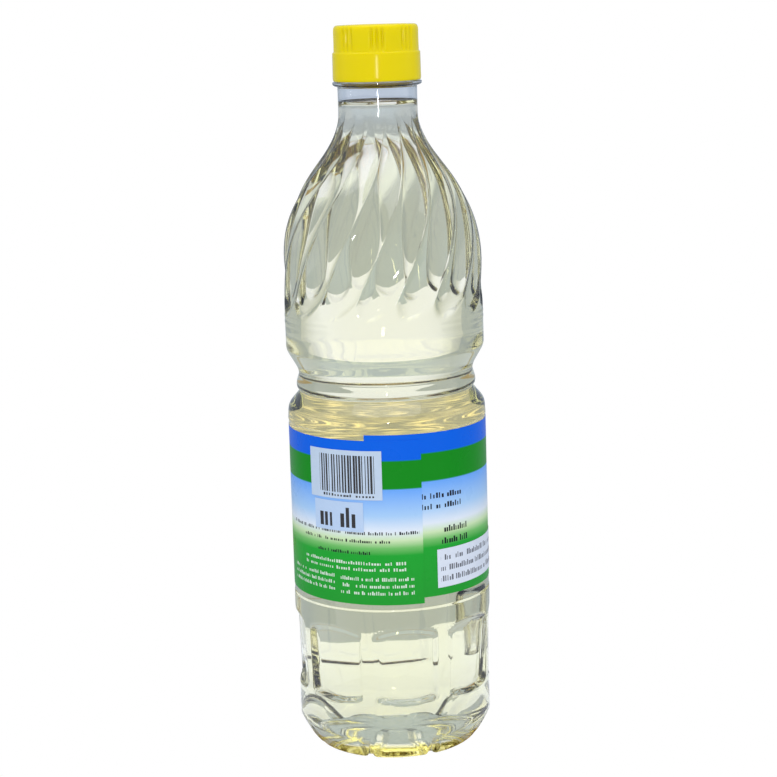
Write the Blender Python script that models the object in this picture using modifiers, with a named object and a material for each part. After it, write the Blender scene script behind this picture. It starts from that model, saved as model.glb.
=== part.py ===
"""A one-litre bottle of fennel water: clear bottle, its contents, a screw cap, a wrap-around label, three stickers.

Sizes are millimetres and degrees. The origin is the centre of the foot, +Z is up and the front looks along -Y.
Angles round the bottle run from the front towards +X. A point of a turned outline is (radius, height).
"""

import math

import bmesh
import bpy
from mathutils import Vector

MM = 0.001
GAP = 0.3
WALL = 0.8
COLUMNS = 48

# Foot and heel
DOME = ((0.0, 5.8), (13.0, 6.4), (21.5, 4.6))
FOOT_STEP = (26.8, 0.6)
FOOT_INNER = 28.2
FOOT_FLOOR_RISE = 0.4
FOOT_OUTER = 29.8
HEEL_CORNER = 32.9
BASE_RADIUS = 38.2
HEEL_TOP = 11.0
HEEL_STEPS = 3
GROOVES = 8
GROOVE_PHASE = -19.5
GROOVE_DEPTH = 1.1
GROOVE_RADII = (10.0, 21.5)
GROOVE_FULL_HEIGHT = 4.0
GROOVE_COLUMNS = (-3.5, 0.0, 3.5, 14.0, 22.5, 31.0)

# Lower body with its sunk panels
PANELS = 8
PANEL_PHASE = -14.8
PANEL_LOW = 25.2
PANEL_MIDDLE = 40.0
PANEL_HIGH = 52.4
PANEL_LIP = 1.4
PANEL_ARCH = 2.2
PANEL_DEPTH_LOW = 2.6
PANEL_DEPTH_HIGH = 1.4
PILLAR_HALF = 4.2
PILLAR_FOOT_HALF = 6.5
PANEL_COLUMNS = (-6.5, -4.2, 4.2, 6.5, 17.2, 27.8)
PANEL_MIDDLE_RADIUS = 38.5
PANEL_TOP_RADIUS = 38.8
LOWER_RADIUS = 39.0
LOWER_LOW = 57.6

# Label seat, waist and upper band
SEAT_LOW = 62.8
SEAT_STEP = 1.2
SEAT_HIGH = 131.2
SEAT_RADIUS = 38.5
BAND_RADIUS = 38.8
BAND_LOW = 159.4
WAIST = (
    (38.9, 131.8),
    (38.6, 137.2),
    (33.7, 143.1),
    (34.8, 143.9),
    (35.2, 145.4),
    (34.8, 147.4),
    (34.0, 149.5),
    (34.6, 152.2),
)

# Fluted shoulder
FLUTES = 16
FLUTE_PHASE = -27.8
FLUTE_TWIST = 0.7225
FLUTE_LOW = 174.0
FLUTE_SCALLOP = 6.0
FLUTE_RUNOUT = 4.0
FLUTE_SHARE = 0.045
FLUTE_FADE = 232.0
FLUTE_TOP = 250.0
FLUTE_ROWS = (177.0, 180.5, 184.5)
SHOULDER_LOW = 190.0
SHOULDER_HANDLES = (38.0, 22.0)
SHOULDER_STEPS = 8

# Neck, its finish and what fills the bottle
NECK_RADIUS = 15.3
NECK_LOW = 252.0
RING_UNDERCUT = 0.9
RING_LOW = 260.2
RING_HIGH = 262.0
RING_RADIUS = 17.3
FINISH_RADIUS = 15.0
RIM_HEIGHT = 280.4
BORE_RADIUS = 13.2
LIQUID_LEVEL = 253.8
LIQUID_TOP_STEP = 3.0

# Cap
CAP_TOP = 282.7
CAP_STEP = 273.1
CAP_SKIRT = 17.0
CAP_EDGE = 0.4
CAP_TAPER = 0.1
CAP_UPPER = 16.3
CAP_ROUND = 1.6
CAP_ROUND_STEPS = 3
CAP_TOP_WALL = 2.0
CAP_COLUMNS = 96
GRIPS = 8
GRIP_COLUMNS = 7
GRIP_PHASE = -9.75
RIB_DEPTH = 0.45

# Label, whose ends overlap at the front, and the stickers on it
FILM = 0.3
LABEL_START = -13.5
LABEL_OVERLAP = 32.0
LABEL_HEIGHT = 64.3
LABEL_LOW = 66.9
LABEL_DROP = 2.2
LABEL_LIFT = 14.0
LABEL_LIFTED = 358.0
LABEL_STEP = 7.5
STICKER_STEP = 6.0
STICKERS = {
    "barcode_sticker": {"angles": (-49.7, -3.8), "heights": (106.0, 125.1), "slot": "white_paper"},
    "content_sticker": {"angles": (-47.0, -15.0), "heights": (93.4, 105.0), "slot": "pale_paper"},
    "permit_sticker": {"angles": (27.0, 96.0), "heights": (69.7, 84.9), "slot": "white_paper"},
}

# name: colour, roughness, metallic
FINISHES = {
    "clear_plastic": ((0.88, 0.9, 0.86), 0.08, 0.0),
    "straw_liquid": ((0.86, 0.83, 0.55), 0.05, 0.0),
    "yellow_plastic": ((0.95, 0.74, 0.02), 0.3, 0.0),
    "printed_film": ((0.08, 0.4, 0.16), 0.35, 0.0),
    "white_paper": ((0.9, 0.9, 0.9), 0.6, 0.0),
    "pale_paper": ((0.72, 0.8, 0.93), 0.6, 0.0),
}


def clear_scene():
    for obj in list(bpy.data.objects):
        bpy.data.objects.remove(obj, do_unlink=True)


def make_collection(name):
    collection = bpy.data.collections.new(name)
    bpy.context.scene.collection.children.link(collection)
    return collection


def make_finish(name):
    colour, roughness, metallic = FINISHES[name]
    material = bpy.data.materials.new(name)
    material.use_nodes = True
    shader = material.node_tree.nodes["Principled BSDF"]
    shader.inputs["Base Color"].default_value = (*colour, 1.0)
    shader.inputs["Roughness"].default_value = roughness
    shader.inputs["Metallic"].default_value = metallic
    return material


def share(value, low, high):
    return min(1.0, max(0.0, (value - low) / (high - low)))


def smooth(value, low, high):
    t = share(value, low, high)
    return t * t * (3.0 - 2.0 * t)


def on_wall(angle, radius, height):
    """The point, in metres, at an angle in degrees from the front towards +X."""
    turn = math.radians(angle)
    return (radius * math.sin(turn) * MM, -radius * math.cos(turn) * MM, height * MM)


def curve_points(corners, steps):
    """Points after the first along the Bezier curve of three or four corners."""
    order = len(corners) - 1
    points = []
    for i in range(1, steps + 1):
        t = i / steps
        weights = [math.comb(order, k) * t**k * (1 - t) ** (order - k) for k in range(order + 1)]
        points.append(tuple(sum(w * corner[axis] for w, corner in zip(weights, corners)) for axis in (0, 1)))
    return points


def heel_points():
    return curve_points(((FOOT_OUTER, 0.0), (HEEL_CORNER, 0.0), (BASE_RADIUS, HEEL_TOP)), HEEL_STEPS)


def panel_rows():
    """Rows of the lower body: under the ledge, down the sunk floor, over the lip and up to the label's seat."""
    floor_low = PANEL_LOW + PANEL_LIP
    floor_high = PANEL_HIGH - PANEL_LIP
    rows = [(BASE_RADIUS, PANEL_LOW), (BASE_RADIUS, floor_low), (PANEL_MIDDLE_RADIUS, PANEL_MIDDLE)]
    rows += [(PANEL_TOP_RADIUS, floor_high), (PANEL_TOP_RADIUS, PANEL_HIGH)]
    return rows + [(LOWER_RADIUS, LOWER_LOW), (LOWER_RADIUS, SEAT_LOW - SEAT_STEP)]


def shoulder_points():
    low, high = SHOULDER_HANDLES
    corners = (
        (BAND_RADIUS, SHOULDER_LOW),
        (BAND_RADIUS, SHOULDER_LOW + low),
        (NECK_RADIUS, NECK_LOW - high),
        (NECK_RADIUS, NECK_LOW),
    )
    return curve_points(corners, SHOULDER_STEPS)


def body_outline():
    """The outer wall from the heel's top to the neck, bottom to top."""
    outline = panel_rows()
    outline += [(SEAT_RADIUS, SEAT_LOW), (SEAT_RADIUS, SEAT_HIGH)]
    outline += list(WAIST)
    outline += [(BAND_RADIUS, height) for height in (BAND_LOW, FLUTE_LOW, *FLUTE_ROWS, SHOULDER_LOW)]
    return outline + shoulder_points()


def inset(outline, depth):
    """An outline moved towards the axis and into the bottle, square to itself."""
    moved = []
    for i, (radius, height) in enumerate(outline):
        before = outline[max(i - 1, 0)]
        after = outline[min(i + 1, len(outline) - 1)]
        run, rise = after[0] - before[0], after[1] - before[1]
        length = math.hypot(run, rise)
        moved.append((radius - depth * rise / length, height + depth * run / length))
    return moved


def bottle_outside():
    underside = list(DOME) + [FOOT_STEP, (FOOT_INNER, 0.0)]
    neck = [(NECK_RADIUS, RING_LOW - RING_UNDERCUT), (RING_RADIUS, RING_LOW), (RING_RADIUS, RING_HIGH)]
    finish = [(FINISH_RADIUS, RING_HIGH), (FINISH_RADIUS, RIM_HEIGHT)]
    return underside + [(FOOT_OUTER, 0.0)] + heel_points() + body_outline() + neck + finish


def inside_floor(depth):
    """The floor of the hollow, from its middle to the heel, this far in from the outer skin."""
    raised = [(radius, height + depth) for radius, height in DOME + ((FOOT_INNER, FOOT_FLOOR_RISE),)]
    return raised + inset(heel_points()[1:], depth)


def bottle_inside():
    neck = [(NECK_RADIUS - WALL, RING_LOW), (BORE_RADIUS, RING_HIGH), (BORE_RADIUS, RIM_HEIGHT)]
    return inside_floor(WALL) + inset(body_outline(), WALL) + neck


def column_angle(column, height):
    """Where a column of the wall stands: at the grooves, at the pillars, or along the twisting ridges."""
    group, place = divmod(column, COLUMNS // PANELS)
    groove = GROOVE_PHASE + 360.0 / GROOVES * group + GROOVE_COLUMNS[place]
    panel = PANEL_PHASE + 360.0 / PANELS * group + PANEL_COLUMNS[place]
    flute = FLUTE_PHASE + 360.0 / COLUMNS * column
    flute += FLUTE_TWIST * (min(height, FLUTE_TOP) - FLUTE_LOW) * (height > FLUTE_LOW)
    if height <= SEAT_LOW:
        to_panel = share(height, HEEL_TOP, PANEL_LOW)
        return groove + (panel - groove) * to_panel
    to_flute = share(height, SEAT_LOW, SEAT_HIGH)
    return panel + (flute - panel) * to_flute


def flute_depth(column, radius, height):
    """Depth of the hollow channel between two ridges, with a rounded lower end."""
    columns = COLUMNS // FLUTES
    across = 2.0 * ((column - 1) % columns) / columns - 1.0
    end = FLUTE_LOW + FLUTE_SCALLOP * across * across
    runout = math.sin(math.pi / 2.0 * share(height, end, end + FLUTE_RUNOUT))
    fade = 1.0 - smooth(height, FLUTE_FADE, FLUTE_TOP)
    return FLUTE_SHARE * radius * (1.0 - across * across) * runout * fade


def off_pillar(column):
    """Degrees from the middle of the nearest pillar."""
    place = PANEL_COLUMNS[column % len(PANEL_COLUMNS)]
    return min(abs(place), abs(360.0 / PANELS - place))


def panel_depth(column, height):
    if not PANEL_LOW + PANEL_LIP / 2.0 < height < PANEL_HIGH - PANEL_LIP / 2.0:
        return 0.0
    sunk = share(off_pillar(column), PILLAR_HALF, PILLAR_FOOT_HALF)
    upwards = share(height, PANEL_LOW, PANEL_HIGH)
    return sunk * (PANEL_DEPTH_LOW + (PANEL_DEPTH_HIGH - PANEL_DEPTH_LOW) * upwards)


def panel_arch(column, height):
    """How far a row rises towards the middle of its panel, for the arched top."""
    half = 180.0 / PANELS
    inward = (half - off_pillar(column)) / (half - PILLAR_HALF)
    near_top = share(height, PANEL_MIDDLE, PANEL_HIGH - PANEL_LIP) * (1.0 - share(height, PANEL_HIGH, LOWER_LOW))
    return PANEL_ARCH * (1.0 - inward * inward) * near_top


def groove_move(column, radius, height):
    """Inward and upward shift of the grooves that cross the heel and run in under the foot."""
    if column % len(GROOVE_COLUMNS) != 1:
        return 0.0, 0.0
    depth = GROOVE_DEPTH * (1.0 - share(height, GROOVE_FULL_HEIGHT, HEEL_TOP)) * share(radius, *GROOVE_RADII)
    lean = math.radians(90.0 * share(radius, FOOT_OUTER, BASE_RADIUS))
    return depth * math.sin(lean), depth * math.cos(lean)


def shaped(column, radius, height):
    """The angle, radius and height that a point of the plain turned wall takes."""
    angle = column_angle(column, height)
    inward, upward = groove_move(column, radius, height) if height < HEEL_TOP else (0.0, 0.0)
    inward += panel_depth(column, height)
    if height > FLUTE_LOW and height < NECK_LOW:
        inward += flute_depth(column, radius, height)
    return angle, radius - inward, height + upward + panel_arch(column, height)


def finish_object(name, mesh, slot, collection):
    obj = bpy.data.objects.new(name, mesh)
    mesh.name = name
    mesh.materials.clear()
    mesh.materials.append(make_finish(slot))
    collection.objects.link(obj)
    mesh.shade_smooth()
    mesh.set_sharp_from_angle(angle=math.radians(30.0))
    return obj


def modified_mesh(mesh, add_modifier):
    """The mesh after one modifier, which add_modifier puts on a passing object."""
    obj = bpy.data.objects.new("blank", mesh)
    bpy.context.scene.collection.objects.link(obj)
    add_modifier(obj)
    bpy.context.view_layer.update()
    result = bpy.data.meshes.new_from_object(obj.evaluated_get(bpy.context.evaluated_depsgraph_get()))
    bpy.data.objects.remove(obj, do_unlink=True)
    return result


def turned_mesh(outline, columns):
    """The outline, bottom to top on its outer side, turned round the Z axis."""
    mesh = bpy.data.meshes.new("outline")
    points = [(radius * MM, 0.0, height * MM) for radius, height in reversed(outline)]
    mesh.from_pydata(points, [(i, i + 1) for i in range(len(points) - 1)], [])

    def add_screw(obj):
        screw = obj.modifiers.new("Turn", "SCREW")
        screw.steps = columns
        screw.render_steps = columns
        screw.use_merge_vertices = True
        screw.merge_threshold = 0.00001

    return modified_mesh(mesh, add_screw)


def split_quads(mesh):
    """Every quad split the same way on the outer and inner faces of a wall, so that the two stay apart."""
    shape = bmesh.new()
    shape.from_mesh(mesh)
    inner = []
    outer = []
    for face in shape.faces:
        centre = face.calc_center_median()
        core = (0.0, 0.0, max(centre.z, SEAT_LOW * MM))
        facing = face.normal.dot(centre - Vector(core))
        (outer if facing > 0.0 else inner).append(face)
    bmesh.ops.triangulate(shape, faces=outer, quad_method="FIXED")
    bmesh.ops.triangulate(shape, faces=inner, quad_method="ALTERNATE")
    shape.to_mesh(mesh)
    shape.free()


def reshape(mesh, columns, place):
    """Each vertex moved by place(column, radius, height), which gives an angle, a radius and a height."""
    split_quads(mesh)
    for vertex in mesh.vertices:
        x, y, z = vertex.co / MM
        column = round(math.degrees(math.atan2(y, x)) / 360.0 * columns) % columns
        vertex.co = on_wall(*place(column, math.hypot(x, y), z))
    mesh.update()


def make_bottle(collection):
    outline = list(reversed(bottle_inside()))
    mesh = turned_mesh(bottle_outside() + outline, COLUMNS)
    reshape(mesh, COLUMNS, shaped)
    return finish_object("bottle", mesh, "clear_plastic", collection)


def make_liquid(collection):
    depth = WALL + GAP
    wall = [point for point in inset(body_outline(), depth) if point[1] < LIQUID_LEVEL - LIQUID_TOP_STEP]
    top = NECK_RADIUS - depth
    outline = inside_floor(depth) + wall + [(top, LIQUID_LEVEL), (0.0, LIQUID_LEVEL)]
    mesh = turned_mesh(outline, COLUMNS)
    reshape(mesh, COLUMNS, shaped)
    return finish_object("fennel_water", mesh, "straw_liquid", collection)


def cap_outline():
    low = RING_HIGH + GAP
    inner = FINISH_RADIUS + GAP
    ceiling = CAP_TOP - CAP_TOP_WALL
    outside = [(CAP_SKIRT - CAP_EDGE / 2.0, low), (CAP_SKIRT, low + CAP_EDGE), (CAP_SKIRT - CAP_TAPER, CAP_STEP)]
    outside += [(CAP_UPPER, CAP_STEP + CAP_EDGE), (CAP_UPPER, CAP_TOP - CAP_ROUND)]
    corner = ((CAP_UPPER, CAP_TOP - CAP_ROUND), (CAP_UPPER, CAP_TOP), (CAP_UPPER - CAP_ROUND, CAP_TOP))
    outside += curve_points(corner, CAP_ROUND_STEPS)
    return [(0.0, ceiling), (inner, ceiling), (inner, low)] + outside + [(0.0, CAP_TOP)]


def cap_point(column, radius, height):
    """The upper part has groups of ribs for the fingers, with grooves at every second column of a group."""
    upper = CAP_STEP < height < CAP_TOP - CAP_ROUND / 2.0 and radius > CAP_UPPER - 0.5
    place = column % (CAP_COLUMNS // GRIPS)
    depth = RIB_DEPTH if upper and place < GRIP_COLUMNS and place % 2 else 0.0
    return GRIP_PHASE + 360.0 / CAP_COLUMNS * column, radius - depth, height


def make_cap(collection):
    mesh = turned_mesh(cap_outline(), CAP_COLUMNS)
    reshape(mesh, CAP_COLUMNS, cap_point)
    return finish_object("cap", mesh, "yellow_plastic", collection)


def label_lift(turned):
    """How far the label stands off its seat this many degrees on from its start: its last end climbs over it."""
    return (FILM + GAP) * smooth(turned, 360.0 - LABEL_LIFT, LABEL_LIFTED)


def skin(name, slot, angles, step, place, collection):
    """A thin sheet bent round the bottle: place(angle, up) gives its inner radius and its height."""
    steps = max(2, round((angles[1] - angles[0]) / step))
    mesh = bpy.data.meshes.new(name)
    sheet = bmesh.new()
    bmesh.ops.create_grid(sheet, x_segments=steps, y_segments=1, size=1.0)
    for vertex in sheet.verts:
        angle = angles[0] + (angles[1] - angles[0]) * (vertex.co.x + 1.0) / 2.0
        radius, height = place(angle, (vertex.co.y + 1.0) / 2.0)
        vertex.co = on_wall(angle, radius, height)
    bmesh.ops.recalc_face_normals(sheet, faces=sheet.faces)
    if sheet.faces[:][0].normal.dot(sheet.faces[:][0].calc_center_median()) < 0.0:
        bmesh.ops.reverse_faces(sheet, faces=sheet.faces)
    sheet.to_mesh(mesh)
    sheet.free()

    def add_thickness(obj):
        solidify = obj.modifiers.new("Thickness", "SOLIDIFY")
        solidify.thickness = FILM * MM
        solidify.offset = 1.0

    return finish_object(name, modified_mesh(mesh, add_thickness), slot, collection)


def make_label(collection):
    def place(angle, up):
        turned = angle - LABEL_START
        drop = LABEL_DROP * turned / 360.0
        return SEAT_RADIUS + GAP + label_lift(turned), LABEL_LOW - drop + LABEL_HEIGHT * up

    angles = (LABEL_START, LABEL_START + 360.0 + LABEL_OVERLAP)
    return skin("label", "printed_film", angles, LABEL_STEP, place, collection)


def make_sticker(name, collection):
    sticker = STICKERS[name]
    low, high = sticker["heights"]

    def place(angle, up):
        turned = (angle - LABEL_START) % 360.0
        if turned < LABEL_OVERLAP:
            turned += 360.0
        return SEAT_RADIUS + FILM + 2.0 * GAP + label_lift(turned), low + (high - low) * up

    return skin(name, sticker["slot"], sticker["angles"], STICKER_STEP, place, collection)


def main():
    clear_scene()
    collection = make_collection("fennel_water_bottle")
    make_bottle(collection)
    make_liquid(collection)
    make_cap(collection)
    make_label(collection)
    for name in STICKERS:
        make_sticker(name, collection)


main()
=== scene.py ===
import math

import bpy
import numpy as np
from mathutils import Euler, Matrix, Vector, noise


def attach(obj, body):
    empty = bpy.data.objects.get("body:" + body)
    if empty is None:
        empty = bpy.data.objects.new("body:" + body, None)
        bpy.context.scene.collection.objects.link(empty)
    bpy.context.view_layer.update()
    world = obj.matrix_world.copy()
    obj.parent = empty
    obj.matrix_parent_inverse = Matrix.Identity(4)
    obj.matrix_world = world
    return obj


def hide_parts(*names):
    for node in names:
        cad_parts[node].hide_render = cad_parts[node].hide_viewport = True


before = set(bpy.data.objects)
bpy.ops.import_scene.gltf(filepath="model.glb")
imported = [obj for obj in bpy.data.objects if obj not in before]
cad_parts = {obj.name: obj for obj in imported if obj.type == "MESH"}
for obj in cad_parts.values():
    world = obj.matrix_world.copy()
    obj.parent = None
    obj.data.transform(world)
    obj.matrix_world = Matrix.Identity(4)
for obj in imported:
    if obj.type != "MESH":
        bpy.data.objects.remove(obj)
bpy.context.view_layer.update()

# Sizes are millimetres and degrees. Angles round the bottle run from the front (-Y) towards +X.
# A point of a turned outline is (radius, height, rounding), and outlines run from the bottom up.
MM = 0.001
COLUMNS = 288
CROWDING = 0.6
SHELL_WALL = 0.45
ROUND_STEPS = 4
ROUND_LIMIT = 0.45
LIQUID_REACH = 0.15

# Foot and heel
DOME = ((0.0, 5.8, 0.0), (13.0, 6.4, 5.0), (21.5, 4.6, 5.0), (26.8, 0.6, 2.0), (28.2, 0.0, 0.6))
GATE_FLAT = 0.5
GATE_RADIUS = 2.2
GATE_DEPTH = 0.9
UNDERSIDE_TOP = 8.4
FOOT_OUTER = 29.8
HEEL_CORNER = 32.9
BASE_RADIUS = 38.2
HEEL_TOP = 11.0
HEEL_STEPS = 12
LEAN_START = FOOT_OUTER - 1.0
GROOVES = 8
GROOVE_PHASE = -19.5
GROOVE_DEPTH = 1.1
GROOVE_HALF = 1.3
GROOVE_SIDE = 0.9
GROOVE_RADII = (9.0, 16.0)
GROOVE_FULL_HEIGHT = 5.0

# Sunk panels of the lower body
PANELS = 8
PANEL_PHASE = -14.8
PANEL_LOW = 26.3
PANEL_SAG = 1.6
PANEL_HIGH = 51.6
PANEL_ARCH = 2.4
PANEL_DEPTH_LOW = 2.7
PANEL_DEPTH_HIGH = 1.4
PILLAR_HALF = 4.0
PILLAR_FOOT_HALF = 6.6
LOW_EDGE = (0.6, 0.9)
HIGH_EDGE = (2.2, 1.0)

# Outer wall from the heel to the shoulder
WALL_LOW = (
    (BASE_RADIUS, HEEL_TOP, 0.0),
    (38.2, 24.0, 3.0),
    (38.8, 47.0, 4.0),
    (39.0, 56.0, 3.0),
    (39.0, 61.9, 0.4),
    (38.8, 62.7, 0.3),
    (38.8, 131.3, 0.3),
    (39.0, 131.8, 0.4),
    (38.7, 137.2, 2.0),
    (33.7, 143.1, 0.6),
    (34.9, 143.8, 0.6),
    (35.3, 145.4, 1.2),
    (34.8, 147.6, 1.4),
    (34.0, 149.6, 1.2),
    (34.6, 152.2, 1.8),
    (38.8, 159.4, 1.6),
    (38.8, 190.0, 0.0),
)
RINGS = (170.4, 172.6)
RING_HEIGHT = 0.14
RING_WIDTH = 0.5
RING_INNER = 37.8

# Rows of the wall: their longest step, which is short where the relief is fine and long behind the label
ROW_STEP = 2.0
FINE_STEP = 0.8
FINE_ROWS = ((23.0, 56.5), (131.0, 160.0), (169.0, 183.0))
SEAT_STEP = 20.0
SEAT_ROWS = (62.7, 131.0)

# Fluted shoulder
BAND_RADIUS = 38.8
FLUTES = 16
RIDGE_PHASE = -20.3
FLUTE_TWIST = 0.7225
FLUTE_LOW = 174.0
FLUTE_SCALLOP = 6.0
FLUTE_RUNOUT = 4.0
FLUTE_SHARE = 0.045
FLUTE_POWER = 0.8
FLUTE_FADE = 239.0
FLUTE_TOP = 252.0
SHOULDER_LOW = 190.0
SHOULDER_HANDLES = (38.0, 22.0)
SHOULDER_STEPS = 34

# Neck, support ring and the finish under the cap
NECK_RADIUS = 15.3
NECK_LOW = 252.0
SUPPORT = (
    (NECK_RADIUS, 252.6, 0.0),
    (NECK_RADIUS, 260.2, 0.4),
    (16.7, 260.6, 0.3),
    (17.2, 261.1, 0.3),
    (17.2, 262.0, 0.2),
    (15.0, 262.0, 0.3),
    (15.0, 280.2, 0.5),
)
BORE_RADIUS = 13.9
BORE_LOW = 260.6
BORE_TAPER = 3.0
LIQUID_LEVEL = 253.8
MENISCUS = 1.1
MENISCUS_WIDTH = 3.2
MENISCUS_CURVE = 2.6
MENISCUS_STEPS = 8

# Cap
CAP_COLUMNS = 576
CAP_LOW = 262.3
CAP_STEP = 273.1
CAP_TOP = 283.5
CAP_SKIRT = 17.0
CAP_UPPER = 16.3
CAP_ROUND = 2.3
CAP_INNER = 15.3
GRIPS = 8
GRIP_PHASE = -9.75
GRIP_WIDTH = 22.5
GRIP_PITCH = 7.5
RIB_DEPTH = 0.75
RIB_LOW = (0.4, 1.1)
RIB_HIGH = (2.2, 0.4)
CAP_CREASE = 50.0

# Label and stickers
LABEL_START = -13.5
LABEL_OVERLAP = 32.0
LABEL_HEIGHT = 64.3
LABEL_LOW = 66.9
LABEL_DROP = 2.2
LABEL_RADIUS = 38.86
FILM = 0.09
FILM_GAP = 0.03
LABEL_LIFT = 10.0
LABEL_LIFT_END = 358.0
STICKER_GAP = 0.05
LABEL_ROWS = 12
STICKER_ROWS = 6
SHEET_STEP = 1.5
SHEET_CREASE = 40.0
PRINT_UNIT = 100.0

# Unevenness of blown or bent sheet: how far, and over what length
WALL_WAVE = (0.1, 14.0)
LABEL_WAVE = (0.05, 14.0)
STICKER_WAVE = (0.04, 14.0)

# Camera, fitted to the photograph
FOCAL_PIXELS = 2098.0
PICTURE_SIDE = 777
SENSOR_WIDTH = 36.0
CAMERA_DISTANCE = 813.7
CAMERA_HEIGHT = 294.1
CAMERA_SIDE = 0.9
CAMERA_PITCH = 10.6
CAMERA_ROLL = 1.7

# Surroundings, in metres and linear colour
DISC_SIDES = 96
FLOOR_HEIGHT = -0.0002
MAT_RADIUS = 0.036
MAT_COLOUR = (0.86, 0.44, 0.02)
PAPER_RADIUS = 0.172
PAPER_COLOUR = (0.86, 0.88, 0.92)
PAPER_GLOW = 0.12
GLOW_COLOUR = (0.95, 0.97, 1.0, 1.0)
TABLE_RADII = (0.31, 0.35)
TABLE_COLOUR = (0.36, 0.22, 0.02)
CARD_LOW = 0.11
CARD_TOP = ((0.038, 0.166), (-0.03, 0.166))
CARD_BEHIND = 0.115
CARD_EDGE = 0.026
CARD_WHITES = ((0.85, 0.88, 1.08, 1.0), (0.91, 0.95, 1.16, 1.0))
CARD_GREY = (0.5, 0.53, 0.56, 1.0)
CARD_BLACK = (0.05, 0.05, 0.05, 1.0)

# The room far off, as seen in each direction: azimuth from behind the bottle towards +X, and elevation
BACKDROP = (0.46, 0.54, 0.66, 1.0)
BACKDROP_SIDES = (0.42, 0.47, 0.53, 1.0)
BACKDROP_AZIMUTH = 3.0
BACKDROP_FADE = (12.0, 26.0)
SIDE_WALLS = (0.9, 0.92, 0.96, 1.0)
SIDE_AZIMUTH = 70.0
SIDE_FADE = 12.0
ROOM = (0.85, 0.85, 0.86, 1.0)
ROOM_FADE = (110.0, 130.0)
FAR_FLOOR = (0.4, 0.45, 0.51, 1.0)
FLOOR_RISE = (-12.0, -3.0)
NEAR_FLOOR = (0.78, 0.84, 0.9, 1.0)
NEAR_FLOOR_RISE = (-26.0, -22.0)
WOOD = (0.36, 0.23, 0.03, 1.0)
WOOD_RISE = (-37.0, -32.0)
WOOD_AZIMUTHS = (-40.0, 20.0)
WOOD_FADE = 6.0
CEILING = (1.3, 1.3, 1.3, 1.0)
CEILING_RISE = (48.0, 60.0)
CAMERA_WHITE = (1.0, 1.0, 1.0, 1.0)

# Lamps: place, target, size and power
SOFTBOX = ((0.0, -0.3, 1.6), (0.0, 0.0, 0.0), (1.6, 1.6), 6.0)
STRIP = ((0.01, -1.2, 0.25), (0.0, 0.0, 0.25), (0.045, 0.11), 1.0)


def share(value, low, high):
    return np.clip((value - low) / (high - low), 0.0, 1.0)


def smooth(value, low, high):
    t = share(value, low, high)
    return t * t * (3.0 - 2.0 * t)


def on_wall(angle, radius, height):
    """Points in metres, as an array whose last axis is x, y, z."""
    turn = np.radians(angle)
    return np.stack(np.broadcast_arrays(radius * np.sin(turn), -radius * np.cos(turn), height), axis=-1) * MM


def bezier(corners, steps):
    """Points after the first along the Bezier curve of these corners."""
    order = len(corners) - 1
    points = []
    for i in range(1, steps + 1):
        t = i / steps
        weights = [math.comb(order, k) * t**k * (1.0 - t) ** (order - k) for k in range(order + 1)]
        points.append(tuple(sum(w * c[axis] for w, c in zip(weights, corners)) for axis in (0, 1)))
    return points


def rounded(corners, steps=ROUND_STEPS):
    """(radius, height) points of an outline whose corners are rounded by their third number."""
    points = [corners[0][:2]]
    for before, corner, after in zip(corners, corners[1:], corners[2:]):
        place = np.array(corner[:2])
        if corner[2] <= 0.0:
            points.append(tuple(place))
            continue
        ends = []
        for other in (before, after):
            leg = np.array(other[:2]) - place
            length = np.linalg.norm(leg)
            ends.append(place + leg * min(corner[2] / length, ROUND_LIMIT))
        points.append(tuple(ends[0]))
        points += bezier((ends[0], place, ends[1]), steps)
    points.append(corners[-1][:2])
    return points


def row_step(height):
    """The longest step between two rows of the wall near this height."""
    if SEAT_ROWS[0] < height < SEAT_ROWS[1]:
        return SEAT_STEP
    if any(low <= height < high for low, high in FINE_ROWS):
        return FINE_STEP
    return ROW_STEP


def refined(points):
    """The outline with long steps divided."""
    result = [points[0]]
    for start, end in zip(points, points[1:]):
        length = math.dist(start, end)
        count = max(1, math.ceil(length / row_step((start[1] + end[1]) / 2.0) - 0.01))
        for i in range(1, count + 1):
            t = i / count
            result.append(tuple(a + (b - a) * t for a, b in zip(start, end)))
    return result


def inset(points, depth):
    """An outline moved into the wall, square to itself."""
    line = np.array(points)
    along = np.gradient(line, axis=0)
    along /= np.linalg.norm(along, axis=1, keepdims=True)
    return [tuple(p) for p in line + depth * np.stack((-along[:, 1], along[:, 0]), axis=1)]


def floor_outline():
    """The underside of the shell from its middle to the outside of the foot."""
    return rounded(DOME + ((FOOT_OUTER, 0.0, 0.0),))


def wall_outline():
    """The outer wall from the foot to where the neck begins."""
    heel = bezier(((FOOT_OUTER, 0.0), (HEEL_CORNER, 0.0), (BASE_RADIUS, HEEL_TOP)), HEEL_STEPS)
    low, high = SHOULDER_HANDLES
    shoulder = (
        (BAND_RADIUS, SHOULDER_LOW),
        (BAND_RADIUS, SHOULDER_LOW + low),
        (NECK_RADIUS, NECK_LOW - high),
        (NECK_RADIUS, NECK_LOW),
    )
    return heel + refined(rounded(WALL_LOW))[1:] + bezier(shoulder, SHOULDER_STEPS)


def shell_outline():
    """The whole shell, outside from the bottom up and then inside from the top down."""
    outside = floor_outline() + wall_outline() + refined(rounded(SUPPORT))
    inside = inset(floor_outline() + wall_outline(), SHELL_WALL)
    inside[0] = (0.0, inside[0][1])
    neck_inside = (
        (NECK_RADIUS - SHELL_WALL, SUPPORT[0][1], 0.0),
        (NECK_RADIUS - SHELL_WALL, BORE_LOW, 0.6),
        (BORE_RADIUS, BORE_LOW + BORE_TAPER, 0.6),
        (BORE_RADIUS, SUPPORT[-1][1], 0.0),
    )
    return outside + list(reversed(inside + refined(rounded(neck_inside))))


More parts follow.
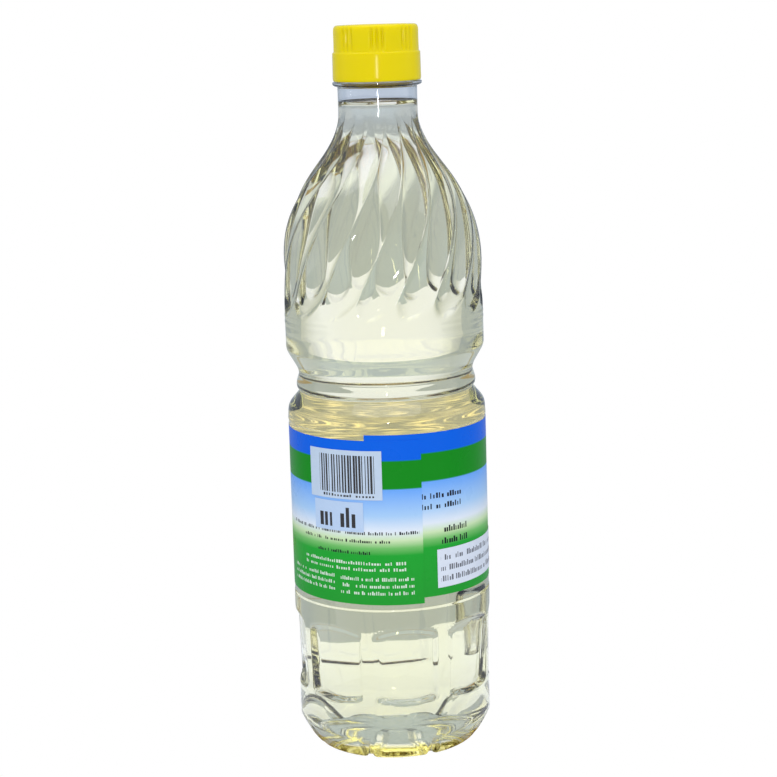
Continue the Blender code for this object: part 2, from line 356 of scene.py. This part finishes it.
def liquid_outline():
    """The liquid, from its underside up the wall to a level top with a meniscus."""
    depth = SHELL_WALL - LIQUID_REACH
    wall = inset(floor_outline() + wall_outline(), depth)
    wall[0] = (0.0, wall[0][1])
    edge = NECK_RADIUS - depth
    top = [(edge, LIQUID_LEVEL + MENISCUS)]
    for i in range(1, MENISCUS_STEPS + 1):
        t = i / MENISCUS_STEPS
        top.append((edge - MENISCUS_WIDTH * t, LIQUID_LEVEL + MENISCUS * (1.0 - t) ** MENISCUS_CURVE))
    return wall + top + [(edge * 0.5, LIQUID_LEVEL), (0.0, LIQUID_LEVEL)]


def flute_sink(angle, radius, height):
    """Depth of the hollow channels between the shoulder's sharp ridges."""
    across = 2.0 * np.mod((angle - RIDGE_PHASE) * FLUTES / 360.0, 1.0) - 1.0
    end = FLUTE_LOW + FLUTE_SCALLOP * across * across
    runout = np.sin(math.pi / 2.0 * share(height, end, end + FLUTE_RUNOUT))
    fade = 1.0 - smooth(height, FLUTE_FADE, FLUTE_TOP)
    return FLUTE_SHARE * radius * (1.0 - across * across) ** FLUTE_POWER * runout * fade


def panel_sink(angle, height):
    """Depth of the lower body's panels, deepest at their lower ledge."""
    half = 180.0 / PANELS
    off = np.abs(np.mod(angle - PANEL_PHASE + half, 2.0 * half) - half)
    inward = share(half - off, 0.0, half - PILLAR_HALF)
    bow = 1.0 - inward * inward
    low = PANEL_LOW - PANEL_SAG * bow
    high = PANEL_HIGH + PANEL_ARCH * bow
    depth = PANEL_DEPTH_LOW + (PANEL_DEPTH_HIGH - PANEL_DEPTH_LOW) * share(height, PANEL_LOW, PANEL_HIGH)
    above = smooth(height, low - LOW_EDGE[0], low + LOW_EDGE[1])
    below = 1.0 - smooth(height, high - HIGH_EDGE[0], high + HIGH_EDGE[1])
    return depth * (above * below) * smooth(off, PILLAR_HALF, PILLAR_FOOT_HALF)


def groove_depth(angle, radius, height):
    """Depth of the grooves that cross the heel and run in under the foot."""
    half = 180.0 / GROOVES
    off = np.mod(angle - GROOVE_PHASE + half, 2.0 * half) - half
    aside = np.abs(radius * np.radians(off))
    width = 1.0 - smooth(aside, GROOVE_HALF - GROOVE_SIDE / 2.0, GROOVE_HALF + GROOVE_SIDE)
    fade = 1.0 - smooth(height, GROOVE_FULL_HEIGHT, HEEL_TOP)
    return GROOVE_DEPTH * width * fade * smooth(radius, *GROOVE_RADII)


def shaped_wall(angle, radius, height):
    """The points of the blown wall at these column angles, with all its relief."""
    inward = panel_sink(angle, height) + (height > FLUTE_LOW) * flute_sink(angle, radius, height)
    for ring in RINGS:
        bead = np.exp(-(((height - ring) / RING_WIDTH) ** 2))
        inward = inward - RING_HEIGHT * bead * (radius > RING_INNER)
    depth = groove_depth(angle, radius, height) * (height < HEEL_TOP)
    lean = math.pi / 2.0 * share(radius, LEAN_START, BASE_RADIUS)
    gate = GATE_DEPTH * (1.0 - smooth(radius, GATE_FLAT, GATE_RADIUS)) * (height < UNDERSIDE_TOP)
    twist = FLUTE_TWIST * (np.clip(height, FLUTE_LOW, FLUTE_TOP) - FLUTE_LOW)
    radius = radius - inward - depth * np.sin(lean)
    return on_wall(angle + twist, radius, height + depth * np.cos(lean) - gate)


def link(obj):
    bpy.context.scene.collection.objects.link(obj)
    return obj


def mesh_object(name, vertices, faces):
    mesh = bpy.data.meshes.new(name)
    mesh.from_pydata([tuple(v) for v in vertices], [], faces)
    mesh.validate()
    mesh.shade_smooth()
    return link(bpy.data.objects.new(name, mesh))


def wall_columns():
    """Column angles of the blown wall, one on each ridge and closer together near it."""
    even = np.arange(COLUMNS) * 360.0 / COLUMNS
    return RIDGE_PHASE + even - CROWDING * np.degrees(np.sin(np.radians(FLUTES * even))) / FLUTES


def turned(name, outline, angles, place):
    """A closed turned body from place(angle, radius, height), with one point for each end on the axis."""
    line = np.array(outline)
    columns = len(angles)
    grid = place(angles[None, :], line[:, 0, None], line[:, 1, None])
    rows = len(line)
    vertices = list(grid[1:-1].reshape(-1, 3))
    first = len(vertices)
    vertices += [grid[0].mean(axis=0), grid[-1].mean(axis=0)]
    faces = []
    for column in range(columns):
        after = (column + 1) % columns
        faces.append((first, after, column))
        top = (rows - 3) * columns
        faces.append((first + 1, top + column, top + after))
        for row in range(rows - 3):
            low, high = row * columns, (row + 1) * columns
            faces.append((low + column, low + after, high + after, high + column))
    return mesh_object(name, vertices, faces)


def ripple(obj, amount, size):
    """Slight unevenness of blown or bent sheet: points moved along the radius by smooth noise."""
    for vertex in obj.data.vertices:
        place = vertex.co / (size * MM)
        push = amount * MM * noise.noise(place)
        flat = Vector((vertex.co.x, vertex.co.y, 0.0))
        if flat.length > 1e-6:
            vertex.co += flat.normalized() * push
    obj.data.update()


class Tree:
    """A node tree, with short ways to add maths to it."""

    def __init__(self, owner):
        owner.use_nodes = True
        self.tree = owner.node_tree

    def node(self, kind, **values):
        node = self.tree.nodes.new(kind)
        for key, value in values.items():
            setattr(node, key, value)
        return node

    def join(self, source, target):
        if isinstance(source, bpy.types.NodeSocket):
            self.tree.links.new(source, target)
        else:
            target.default_value = source

    def math(self, operation, *inputs):
        node = self.node("ShaderNodeMath", operation=operation)
        for socket, value in zip(node.inputs, inputs):
            self.join(value, socket)
        return node.outputs[0]

    def product(self, first, *others):
        for other in others:
            first = self.math("MULTIPLY", first, other)
        return first

    def mix(self, factor, first, second):
        node = self.node("ShaderNodeMix", data_type="RGBA")
        colours = [socket for socket in node.inputs if socket.type == "RGBA"]
        for socket, value in zip((node.inputs[0], *colours), (factor, first, second)):
            self.join(value, socket)
        return next(socket for socket in node.outputs if socket.type == "RGBA")

    def remap(self, value, source, target, kind="LINEAR"):
        node = self.node("ShaderNodeMapRange", interpolation_type=kind)
        self.join(value, node.inputs["Value"])
        for name, number in zip(("From Min", "From Max", "To Min", "To Max"), source + target):
            self.join(number, node.inputs[name])
        return node.outputs["Result"]

    def between(self, value, low, high):
        """1 where value lies from low to high, else 0."""
        above = self.math("GREATER_THAN", value, low)
        return self.math("MULTIPLY", above, self.math("LESS_THAN", value, high))

    def window(self, value, low, high, edge):
        """1 from low to high, with soft edges this wide outside of them."""
        rise = self.remap(value, (low - edge, low), (0.0, 1.0), "SMOOTHSTEP")
        fall = self.remap(value, (high, high + edge), (1.0, 0.0), "SMOOTHSTEP")
        return self.math("MULTIPLY", rise, fall)

    def chance(self, *numbers):
        """Three random values from 0 to 1 for each set of whole numbers."""
        parts = self.node("ShaderNodeCombineXYZ")
        for number, socket in zip(numbers, parts.inputs):
            self.join(number, socket)
        noise_node = self.node("ShaderNodeTexWhiteNoise", noise_dimensions="3D")
        self.join(parts.outputs["Vector"], noise_node.inputs["Vector"])
        split = self.node("ShaderNodeSeparateColor")
        self.join(noise_node.outputs["Color"], split.inputs["Color"])
        return split.outputs


class Shade(Tree):
    """A material's node tree round its Principled surface."""

    def __init__(self, name):
        self.material = bpy.data.materials.new(name)
        super().__init__(self.material)
        self.surface = self.tree.nodes["Principled BSDF"]
        self.output = self.tree.nodes["Material Output"]

    def ramp(self, value, stops):
        node = self.node("ShaderNodeValToRGB")
        elements = node.color_ramp.elements
        while len(elements) < len(stops):
            elements.new(0.5)
        for element, (place, colour) in zip(elements, stops):
            element.position = place
            element.color = (*linear(colour), 1.0)
        self.join(value, node.inputs["Fac"])
        return node.outputs["Color"]

    def noise(self, scale, detail=2.0):
        coordinates = self.node("ShaderNodeTexCoord").outputs["Object"]
        texture = self.node("ShaderNodeTexNoise")
        self.join(coordinates, texture.inputs["Vector"])
        self.join(scale, texture.inputs["Scale"])
        self.join(detail, texture.inputs["Detail"])
        return texture.outputs["Fac"]

    def bump(self, height, strength, distance):
        node = self.node("ShaderNodeBump")
        self.join(height, node.inputs["Height"])
        self.join(strength, node.inputs["Strength"])
        self.join(distance * MM, node.inputs["Distance"])
        self.tree.links.new(node.outputs["Normal"], self.surface.inputs["Normal"])

    def set(self, **values):
        for key, value in values.items():
            self.join(value, self.surface.inputs[key.replace("_", " ")])

    def place(self):
        """The two coordinates of a sheet in millimetres: along it, and up from its lower edge."""
        layer = self.node("ShaderNodeUVMap", uv_map="print")
        parts = self.node("ShaderNodeSeparateXYZ")
        self.tree.links.new(layer.outputs["UV"], parts.inputs["Vector"])
        return [self.math("MULTIPLY", parts.outputs[axis], PRINT_UNIT) for axis in ("X", "Y")]


def linear(colour):
    """An sRGB colour, each part from 0 to 1, as the linear values that a shader takes."""
    return tuple(c / 12.92 if c <= 0.04045 else ((c + 0.055) / 1.055) ** 2.4 for c in colour)


def tones(shade, colours, scale, detail=2.0):
    """A colour that wanders between two sRGB colours over the surface."""
    first, second = ((*linear(colour), 1.0) for colour in colours)
    return shade.mix(shade.noise(scale, detail), first, second)


def spread(shade, low, high, scale, detail=2.0):
    """A value that wanders between two numbers over the surface."""
    return shade.remap(shade.noise(scale, detail), (0.0, 1.0), (low, high))


SHELL_TINT = (0.985, 0.99, 0.995, 1.0)
LIQUID_TINT = (0.96, 0.9, 0.1, 1.0)
LIQUID_DENSITY = 6.2
CAP_YELLOWS = ((0.91, 0.82, 0.0), (0.93, 0.855, 0.0))
CAP_GLOW_RADII = (0.004, 0.003, 0.0003)


def shell_material():
    shade = Shade("clear_plastic")
    shade.set(Base_Color=SHELL_TINT, IOR=1.5, Transmission_Weight=1.0)
    shade.set(Roughness=spread(shade, 0.0, 0.035, 220.0, 4.0))
    shade.bump(shade.noise(900.0, 3.0), 0.05, 0.02)
    return shade.material


def liquid_material():
    shade = Shade("straw_liquid")
    shade.set(Base_Color=(1.0, 1.0, 1.0, 1.0), IOR=1.333, Transmission_Weight=1.0, Roughness=0.0)
    volume = shade.node("ShaderNodeVolumeAbsorption")
    volume.inputs["Color"].default_value = LIQUID_TINT
    volume.inputs["Density"].default_value = LIQUID_DENSITY
    shade.tree.links.new(volume.outputs["Volume"], shade.output.inputs["Volume"])
    return shade.material


def cap_material():
    shade = Shade("yellow_plastic")
    shade.set(Base_Color=tones(shade, CAP_YELLOWS, 35.0, 3.0), Roughness=spread(shade, 0.12, 0.2, 160.0))
    shade.set(Specular_IOR_Level=0.15, Subsurface_Weight=0.2)
    shade.set(Subsurface_Radius=CAP_GLOW_RADII, Subsurface_Scale=1.0)
    shade.bump(shade.noise(700.0, 2.0), 0.08, 0.05)
    return shade.material


def words(shade, along, up, block):
    """1 on rows of small strokes that stand for print, inside a block of the sheet."""
    left, right, low, high, pitch, letter = block
    inside = shade.product(shade.between(along, left, right), shade.between(up, low, high))
    row = shade.math("DIVIDE", shade.math("SUBTRACT", up, low), pitch)
    cell = shade.math("DIVIDE", along, letter)
    first, second, third = shade.chance(shade.math("FLOOR", cell), shade.math("FLOOR", row), left)[:3]
    top = shade.math("ADD", 0.62, shade.math("MULTIPLY", shade.math("GREATER_THAN", third, 0.6), 0.16))
    width = shade.math("ADD", 0.45, shade.math("MULTIPLY", second, 0.45))
    line = shade.between(shade.math("FRACT", row), 0.26, top)
    stroke = shade.between(shade.math("FRACT", cell), 0.1, width)
    return shade.product(inside, line, stroke, shade.math("GREATER_THAN", first, 0.16))


def bars(shade, along, up, field):
    """1 on the upright bars of a barcode: two bars of random width in each digit's place."""
    left, right, low, high, digit = field
    inside = shade.product(shade.between(along, left, right), shade.between(up, low, high))
    place = shade.math("DIVIDE", along, digit)
    first, second, third = shade.chance(shade.math("FLOOR", place), 0.0, 0.0)[:3]
    across = shade.math("FRACT", place)
    start = shade.math("ADD", 0.46, shade.math("MULTIPLY", third, 0.16))
    one = shade.between(across, 0.04, shade.math("ADD", 0.16, shade.math("MULTIPLY", first, 0.24)))
    end = shade.math("ADD", start, shade.math("ADD", 0.13, shade.math("MULTIPLY", second, 0.24)))
    return shade.math("MULTIPLY", inside, shade.math("MAXIMUM", one, shade.between(across, start, end)))


BLUE = (0.0, 0.385, 0.9)
GREEN = (0.05, 0.54, 0.1)
SKY = (0.42, 0.66, 0.98)
PALE = (0.88, 0.92, 0.97)
LIME = (0.80, 0.90, 0.72)
GRASS = (0.12, 0.64, 0.2)
WHITE_INK = (0.66, 0.78, 0.68, 1.0)
BLACK_INK = (0.01, 0.01, 0.02, 1.0)
# Heights above the label's lower edge at which each colour stands, in millimetres
BANDS = (
    (0.0, (0.13, 0.6, 0.19)),
    (19.5, GRASS),
    (22.5, (0.45, 0.75, 0.42)),
    (25.5, LIME),
    (29.0, PALE),
    (35.0, (0.66, 0.81, 0.97)),
    (45.3, SKY),
    (45.7, GREEN),
    (56.4, GREEN),
    (56.7, BLUE),
    (64.3, BLUE),
)
# Blocks of print on the label: left, right, low, high, row pitch and width of one stroke
WHITE_BLOCKS = (
    (214.2, 259.0, 12.7, 17.5, 2.4, 1.05),
    (204.0, 230.0, 4.0, 11.8, 2.6, 0.75),
    (232.6, 262.0, 3.2, 11.4, 2.75, 0.8),
)
BLACK_BLOCKS = (
    (205.0, 264.5, 27.0, 29.4, 2.4, 0.85),
    (214.2, 253.2, 23.8, 26.2, 2.4, 0.85),
    (222.0, 245.6, 19.2, 21.6, 2.4, 0.8),
    (20.0, 40.0, 33.4, 41.6, 4.1, 1.25),
    (29.7, 43.0, 19.0, 28.2, 4.6, 1.1),
)


def label_material():
    shade = Shade("printed_film")
    along, up = shade.place()
    stops = [(height / LABEL_HEIGHT, colour) for height, colour in BANDS]
    colour = shade.ramp(shade.math("DIVIDE", up, LABEL_HEIGHT), stops)
    for block in WHITE_BLOCKS:
        colour = shade.mix(words(shade, along, up, block), colour, WHITE_INK)
    for block in BLACK_BLOCKS:
        colour = shade.mix(words(shade, along, up, block), colour, BLACK_INK)
    shade.set(Base_Color=colour, Roughness=spread(shade, 0.22, 0.36, 90.0), Specular_IOR_Level=0.12)
    shade.bump(shade.noise(240.0, 3.0), 0.12, 0.05)
    return shade.material


FILM_BACKS = ((0.66, 0.64, 0.5, 1.0), (0.74, 0.72, 0.58, 1.0))
# Painted light: the gold of the streaks that glow on the film's back
PAINTED_LIGHT_GOLD = (1.0, 0.8, 0.36, 1.0)
# Streaks of painted light: how fast they change along the film and up it, and the heights between which they
# set in
STREAK_SCALES = (0.03, 0.55)
STREAK_RISE = (40.0, 54.0)


def painted_light_streaks(shade):
    """Painted light: 1 on level bands of painted gold light in the upper part of the film's back, 0
    elsewhere.
    """
    along, up = shade.place()
    parts = shade.node("ShaderNodeCombineXYZ")
    shade.join(shade.math("MULTIPLY", along, STREAK_SCALES[0]), parts.inputs["X"])
    shade.join(shade.math("MULTIPLY", up, STREAK_SCALES[1]), parts.inputs["Y"])
    texture = shade.node("ShaderNodeTexNoise")
    shade.join(parts.outputs["Vector"], texture.inputs["Vector"])
    bright = shade.remap(texture.outputs["Fac"], (0.5, 0.64), (0.0, 1.0), "SMOOTHSTEP")
    return shade.product(bright, shade.remap(up, STREAK_RISE, (0.0, 1.0)))


def film_back_material():
    """The film's back, with painted light: it glows as if brightened by daylight through the film, and has
    painted gold streaks where the waist gathers light.
    """
    shade = Shade("film_back")
    tint = shade.mix(shade.noise(60.0), *FILM_BACKS)
    streak = painted_light_streaks(shade)
    # Painted light: the back glows by emission, evenly and brighter in gold on the painted streaks
    shade.set(Base_Color=tint, Roughness=0.5, Emission_Color=shade.mix(streak, tint, PAINTED_LIGHT_GOLD))
    shade.set(Emission_Strength=shade.math("ADD", 0.42, streak))
    return shade.material


STICKER_INK = (0.015, 0.015, 0.02, 1.0)
PERMIT_INK = (0.1, 0.11, 0.14, 1.0)
BARCODE_WHITES = ((0.72, 0.8, 0.9), (0.77, 0.84, 0.92))
PERMIT_WHITES = ((0.82, 0.86, 0.93), (0.87, 0.9, 0.95))
CONTENT_BLUES = ((0.7, 0.8, 0.93), (0.74, 0.83, 0.95))
# Blocks of strokes as on the label. The barcode's field is left, right, low, high and width of a digit.
DIGIT_BLOCK = (5.0, 28.2, 0.4, 2.4, 2.0, 1.3)
BARCODE_FIELD = (5.0, 28.4, 2.5, 17.2, 2.34)
PERMIT_BLOCK = (1.5, 44.0, 1.2, 14.0, 4.2, 1.05)
CONTENT_BLOCK = (2.0, 18.8, -2.4, 12.6, 15.0, 2.4)


def paper(name, colours, block, ink=STICKER_INK, field=None):
    """Sticker paper with faint fibre, a block of print and an optional field of bars."""
    shade = Shade(name)
    along, up = shade.place()
    tint = tones(shade, colours, 380.0, 4.0)
    tint = shade.mix(words(shade, along, up, block), tint, ink)
    if field:
        tint = shade.mix(bars(shade, along, up, field), tint, ink)
    shade.set(Base_Color=tint, Roughness=spread(shade, 0.45, 0.6, 120.0))
    shade.bump(shade.noise(900.0, 3.0), 0.1, 0.03)
    return shade.material


def label_lift(turned_by):
    """How far the overlapping end stands off, to pass over the end under it."""
    return (FILM + FILM_GAP) * smooth(turned_by, 360.0 - LABEL_LIFT, LABEL_LIFT_END)


def sheet_faces(rows, columns):
    """The front, back and rim faces of a sheet whose outer points come after its inner ones."""
    count = rows * columns
    fronts = []
    backs = []
    for row in range(rows - 1):
        for column in range(columns - 1):
            a = row * columns + column
            b, c, d = a + 1, a + 1 + columns, a + columns
            fronts.append((a + count, b + count, c + count, d + count))
            backs.append((d, c, b, a))
    rim = list(range(columns))
    rim += [row * columns + columns - 1 for row in range(1, rows)]
    rim += [(rows - 1) * columns + column for column in range(columns - 2, -1, -1)]
    rim += [row * columns for row in range(rows - 2, 0, -1)]
    edges = [(a, b, b + count, a + count) for a, b in zip(rim, rim[1:] + rim[:1])]
    return fronts, backs, edges


def map_print(mesh, along, rise):
    """The map named print: each point's place on the flat sheet, in units of PRINT_UNIT millimetres."""
    layer = mesh.uv_layers.new(name="print")
    along = along.reshape(-1) / PRINT_UNIT
    rise = rise.reshape(-1) / PRINT_UNIT
    for loop in mesh.loops:
        point = loop.vertex_index % len(along)
        layer.data[loop.index].uv = (along[point], rise[point])


def sheet(name, angles, rows, place):
    """A thin closed sheet bent round the bottle, and how many front faces and back faces it starts with."""
    columns = max(2, round((angles[1] - angles[0]) / SHEET_STEP)) + 1
    angle = np.linspace(angles[0], angles[1], columns)[None, :]
    up = np.linspace(0.0, 1.0, rows)[:, None]
    radius, height = place(angle, up)
    inner = on_wall(angle, radius, height).reshape(-1, 3)
    outer = on_wall(angle, radius + FILM, height).reshape(-1, 3)
    fronts, backs, edges = sheet_faces(rows, columns)
    obj = mesh_object(name, np.concatenate((inner, outer)), fronts + backs + edges)
    obj.data.set_sharp_from_angle(angle=math.radians(SHEET_CREASE))
    span = math.radians(angles[1] - angles[0]) * float(np.mean(radius))
    rise = up * float(np.mean(height[-1] - height[0]))
    map_print(obj.data, *np.broadcast_arrays(np.linspace(0.0, span, columns)[None, :], rise))
    return obj, len(fronts), len(backs)


def make_label():
    def place(angle, up):
        turned_by = angle - LABEL_START
        low = LABEL_LOW - LABEL_DROP * turned_by / 360.0
        return LABEL_RADIUS + label_lift(turned_by) + 0.0 * up, low + LABEL_HEIGHT * up

    angles = (LABEL_START, LABEL_START + 360.0 + LABEL_OVERLAP)
    label, fronts, backs = sheet("label_film", angles, LABEL_ROWS, place)
    label.data.materials.append(label_material())
    label.data.materials.append(film_back_material())
    for polygon in label.data.polygons[fronts : fronts + backs]:
        polygon.material_index = 1
    ripple(label, *LABEL_WAVE)
    return label


def make_sticker(name, angles, heights, material):
    low, high = heights

    def place(angle, up):
        turned_by = np.mod(angle - LABEL_START, 360.0)
        turned_by = np.where(turned_by < LABEL_OVERLAP, turned_by + 360.0, turned_by)
        radius = LABEL_RADIUS + FILM + FILM_GAP + STICKER_GAP + label_lift(turned_by)
        return radius + 0.0 * up, low + (high - low) * up + 0.0 * angle

    sticker, _, _ = sheet(name, angles, STICKER_ROWS, place)
    sticker.data.materials.append(material)
    ripple(sticker, *STICKER_WAVE)
    return sticker


def cap_outline():
    outside = (
        (CAP_INNER, CAP_LOW + 1.2, 0.0),
        (CAP_INNER + 0.6, CAP_LOW, 0.3),
        (CAP_SKIRT - 0.2, CAP_LOW, 0.3),
        (CAP_SKIRT, CAP_LOW + 1.0, 0.6),
        (CAP_SKIRT - 0.1, CAP_STEP - 0.1, 0.25),
        (CAP_UPPER + 0.05, CAP_STEP + 0.35, 0.25),
        (CAP_UPPER, CAP_TOP - 6.0, 0.0),
        (CAP_UPPER, CAP_TOP, CAP_ROUND),
        (13.0, CAP_TOP, 0.4),
        (12.6, CAP_TOP - 0.25, 0.4),
        (1.6, CAP_TOP - 0.25, 0.3),
        (1.2, CAP_TOP - 0.5, 0.2),
        (0.0, CAP_TOP - 0.5, 0.0),
    )
    inside = ((0.0, CAP_TOP - 2.0, 0.0), (CAP_INNER, CAP_TOP - 2.0, 0.6), (CAP_INNER, CAP_LOW + 1.2, 0.0))
    return rounded(inside)[:-1] + refined(rounded(outside, 5))


def cap_place(angle, radius, height):
    """The cap with ribs on its grips, which fade out at the step and at the rounded top."""
    local = np.mod(angle, 360.0 / GRIPS)
    wave = 0.5 - 0.5 * np.cos(2.0 * math.pi * local / GRIP_PITCH)
    above = smooth(height, CAP_STEP + RIB_LOW[0], CAP_STEP + RIB_LOW[1])
    below = 1.0 - smooth(height, CAP_TOP - RIB_HIGH[0], CAP_TOP - RIB_HIGH[1])
    ribbed = (local < GRIP_WIDTH) * (radius > CAP_UPPER - 1.0) * (above * below)
    return on_wall(angle + GRIP_PHASE, radius - RIB_DEPTH * wave * ribbed, height)


def make_bottle():
    shell = turned("bottle_shell", shell_outline(), wall_columns(), shaped_wall)
    ripple(shell, *WALL_WAVE)
    shell.data.materials.append(shell_material())
    return shell


def make_liquid():
    liquid = turned("fennel_water_fill", liquid_outline(), wall_columns(), shaped_wall)
    ripple(liquid, *WALL_WAVE)
    liquid.data.materials.append(liquid_material())
    return liquid


def make_cap():
    angles = np.arange(CAP_COLUMNS) * 360.0 / CAP_COLUMNS
    cap = turned("screw_cap", cap_outline(), angles, cap_place)
    cap.data.set_sharp_from_angle(angle=math.radians(CAP_CREASE))
    cap.data.materials.append(cap_material())
    return cap


def stand_for(piece, node):
    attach(piece, "root")
    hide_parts(node)


# Stickers: piece, angles, heights, node and slot
STICKERS = (
    ("barcode_paper", (-49.7, -3.8), (106.0, 125.1), "barcode_sticker", "white_paper"),
    ("content_paper", (-47.0, -15.0), (93.4, 105.0), "content_sticker", "pale_paper"),
    ("permit_sheet", (27.0, 96.0), (69.7, 84.9), "permit_sticker", "white_paper"),
)


def dress():
    stand_for(make_bottle(), "bottle")
    stand_for(make_liquid(), "fennel_water")
    stand_for(make_cap(), "cap")
    stand_for(make_label(), "label")
    papers = (
        paper("white_paper", BARCODE_WHITES, DIGIT_BLOCK, field=BARCODE_FIELD),
        paper("pale_paper", CONTENT_BLUES, CONTENT_BLOCK),
        paper("permit_paper", PERMIT_WHITES, PERMIT_BLOCK, ink=PERMIT_INK),
    )
    for (name, angles, heights, node, slot), material in zip(STICKERS, papers):
        stand_for(make_sticker(name, angles, heights, material), node)


def floor_material(name, colour, glow):
    shade = Shade(name)
    shade.set(Emission_Color=GLOW_COLOUR, Emission_Strength=glow)
    dark = tuple(0.94 * part for part in colour)
    shade.set(Base_Color=shade.mix(shade.noise(6.0, 4.0), (*colour, 1.0), (*dark, 1.0)), Roughness=0.7)
    return shade.material


def turned_disc(name, inner, outer):
    """A flat disc, or a ring where inner is more than 0."""
    angles = np.radians(np.arange(DISC_SIDES) * 360.0 / DISC_SIDES)
    ring = np.stack((np.cos(angles), np.sin(angles), 0.0 * angles), axis=1)
    vertices = np.concatenate((ring * max(inner, 1e-4), ring * outer))
    faces = []
    for i in range(DISC_SIDES):
        after = (i + 1) % DISC_SIDES
        faces.append((i, i + DISC_SIDES, after + DISC_SIDES, after))
    if inner == 0.0:
        faces.append(tuple(range(DISC_SIDES - 1, -1, -1)))
    return mesh_object(name, vertices, faces)


def make_floor():
    """White paper round a brown mat, and wood farther out. The camera sees them only through the bottle."""
    rings = (
        ("mat", 0.0, MAT_RADIUS, MAT_COLOUR, 0.0),
        ("paper", MAT_RADIUS, PAPER_RADIUS, PAPER_COLOUR, PAPER_GLOW),
        ("table", *TABLE_RADII, TABLE_COLOUR, 0.0),
    )
    for name, inner, outer, colour, glow in rings:
        ring = turned_disc(name, inner, outer)
        ring.location.z = FLOOR_HEIGHT
        ring.visible_camera = False
        ring.data.materials.append(floor_material(name, colour, glow))


def wall_colour(sky, azimuth):
    """The backdrop behind the bottle, pale walls at its sides and the room in front of it."""
    off_middle = sky.math("ABSOLUTE", sky.math("SUBTRACT", azimuth, BACKDROP_AZIMUTH))
    aside = sky.remap(off_middle, BACKDROP_FADE, (0.0, 1.0), "SMOOTHSTEP")
    backdrop = sky.mix(aside, BACKDROP, BACKDROP_SIDES)
    walls = sky.mix(sky.window(azimuth, -SIDE_AZIMUTH, SIDE_AZIMUTH, SIDE_FADE), SIDE_WALLS, backdrop)
    return sky.mix(sky.remap(sky.math("ABSOLUTE", azimuth), ROOM_FADE, (0.0, 1.0)), walls, ROOM)


def floor_colour(sky, azimuth, height):
    """Grey floor far off, paler floor nearer, and wood close by."""
    near = sky.remap(height, NEAR_FLOOR_RISE, (1.0, 0.0), "SMOOTHSTEP")
    floor = sky.mix(near, FAR_FLOOR, NEAR_FLOOR)
    steep = sky.remap(height, WOOD_RISE, (1.0, 0.0), "SMOOTHSTEP")
    wood = sky.math("MULTIPLY", steep, sky.window(azimuth, *WOOD_AZIMUTHS, WOOD_FADE))
    return sky.mix(wood, floor, WOOD)


def make_world():
    """White to the camera. What the bottle bends or mirrors is a room with a grey-blue backdrop."""
    world = bpy.data.worlds.new("studio")
    bpy.context.scene.world = world
    sky = Tree(world)
    direction = sky.node("ShaderNodeSeparateXYZ")
    sky.join(sky.node("ShaderNodeTexCoord").outputs["Generated"], direction.inputs["Vector"])
    x, y, z = direction.outputs[:3]
    azimuth = sky.math("MULTIPLY", sky.math("ARCTAN2", x, y), 180.0 / math.pi)
    height = sky.math("MULTIPLY", sky.math("ARCSINE", z), 180.0 / math.pi)
    behind = sky.math("LESS_THAN", sky.math("ABSOLUTE", azimuth), ROOM_FADE[0])
    low = sky.remap(height, FLOOR_RISE, (1.0, 0.0))
    floor = floor_colour(sky, azimuth, height)
    room = sky.mix(sky.math("MULTIPLY", behind, low), wall_colour(sky, azimuth), floor)
    room = sky.mix(sky.remap(height, CEILING_RISE, (0.0, 1.0), "SMOOTHSTEP"), room, CEILING)
    camera = sky.node("ShaderNodeLightPath").outputs["Is Camera Ray"]
    background = sky.tree.nodes["Background"]
    sky.join(sky.mix(camera, room, CAMERA_WHITE), background.inputs["Color"])


def card_material(left, right):
    """Emission that is white in the card's middle and fades to grey at its two sides."""
    shade = Shade("card_white")
    place = shade.node("ShaderNodeSeparateXYZ")
    shade.join(shade.node("ShaderNodeTexCoord").outputs["Object"], place.inputs["Vector"])
    middle = shade.window(place.outputs["X"], left + CARD_EDGE, right - CARD_EDGE, CARD_EDGE)
    glow = shade.mix(middle, CARD_GREY, shade.mix(shade.noise(14.0), *CARD_WHITES))
    shade.set(Base_Color=CARD_BLACK, Emission_Color=glow, Emission_Strength=1.0)
    return shade.material


def make_card():
    """A glowing card behind the bottle, which its wall shows as white patches with soft sides."""
    left, right = CARD_TOP[-1][0], CARD_TOP[0][0]
    corners = ((left, CARD_LOW), (right, CARD_LOW)) + CARD_TOP
    card = mesh_object("card", [(x, CARD_BEHIND, z) for x, z in corners], [tuple(range(len(corners)))])
    card.visible_camera = False
    card.data.materials.append(card_material(left, right))


def area_light(name, place, target, size, energy):
    light = bpy.data.lights.new(name, "AREA")
    light.shape = "RECTANGLE"
    light.size, light.size_y = size
    light.energy = energy
    obj = link(bpy.data.objects.new(name, light))
    toward = Vector(target) - Vector(place)
    obj.matrix_world = Matrix.Translation(place) @ toward.to_track_quat("-Z", "Y").to_matrix().to_4x4()


def make_lights():
    area_light("top_softbox", *SOFTBOX)
    area_light("strip", *STRIP)


def make_camera():
    """The photograph's view: looking down a little, rolled so that the bottle's top leans left."""
    camera = bpy.data.cameras.new("camera")
    camera.sensor_width = SENSOR_WIDTH
    camera.lens = FOCAL_PIXELS / PICTURE_SIDE * SENSOR_WIDTH
    camera.clip_end = 50.0
    obj = link(bpy.data.objects.new("camera", camera))
    tilt = Euler((math.radians(90.0 - CAMERA_PITCH), 0.0, 0.0)).to_matrix().to_4x4()
    roll = Matrix.Rotation(math.radians(-CAMERA_ROLL), 4, "Z")
    place = Vector((CAMERA_SIDE, -CAMERA_DISTANCE, CAMERA_HEIGHT)) * MM
    obj.matrix_world = Matrix.Translation(place) @ tilt @ roll
    bpy.context.scene.camera = obj


dress()
make_floor()
make_card()
make_world()
make_lights()
make_camera()
bpy.context.scene.view_settings.view_transform = "Standard"
bpy.context.scene.cycles.max_bounces = 32
bpy.context.scene.cycles.transmission_bounces = 32
